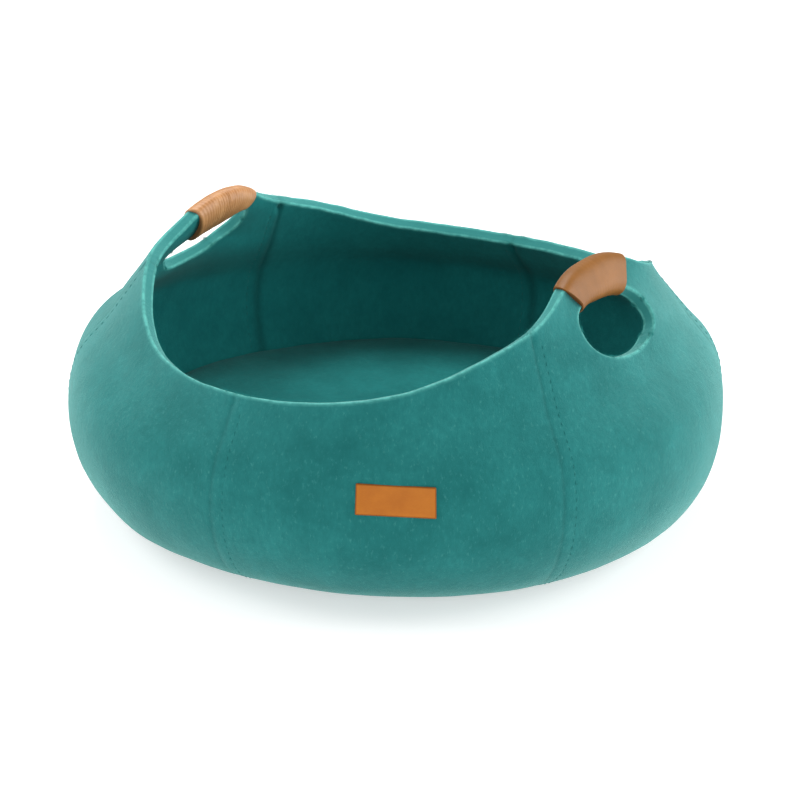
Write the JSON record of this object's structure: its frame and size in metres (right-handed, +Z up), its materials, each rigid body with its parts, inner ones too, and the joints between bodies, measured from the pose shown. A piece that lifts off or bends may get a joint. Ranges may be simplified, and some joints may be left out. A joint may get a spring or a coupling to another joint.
{
  "type": "felt pet basket bed",
  "caption": "Round felt pet bed with inward-leaning gored walls, a hand hole and sleeved handle at each side, and a filled cushion.",
  "frame": {"origin": "on the floor under the middle of the base", "axes": "+X towards the right handle, -Y towards the front with the patch to the right of it, +Z up"},
  "size_m": [0.509, 0.487, 0.2298],
  "materials": {
    "wall_felt": "matte, brushed felt",
    "cushion_felt": "matte, short plush",
    "tan_leather": "satin",
    "patch_leather": "satin"
  },
  "bodies": {
    "root": {"base": "wall_felt", "gore_back_right": "wall_felt", "gore_back_left": "wall_felt", "gore_front_left": "wall_felt", "gore_front": "wall_felt", "gore_handle_right": "wall_felt", "gore_handle_left": "wall_felt", "sleeve_right": "tan_leather", "sleeve_left": "tan_leather", "cushion": "cushion_felt", "patch": "patch_leather"}
  },
  "joints": []
}
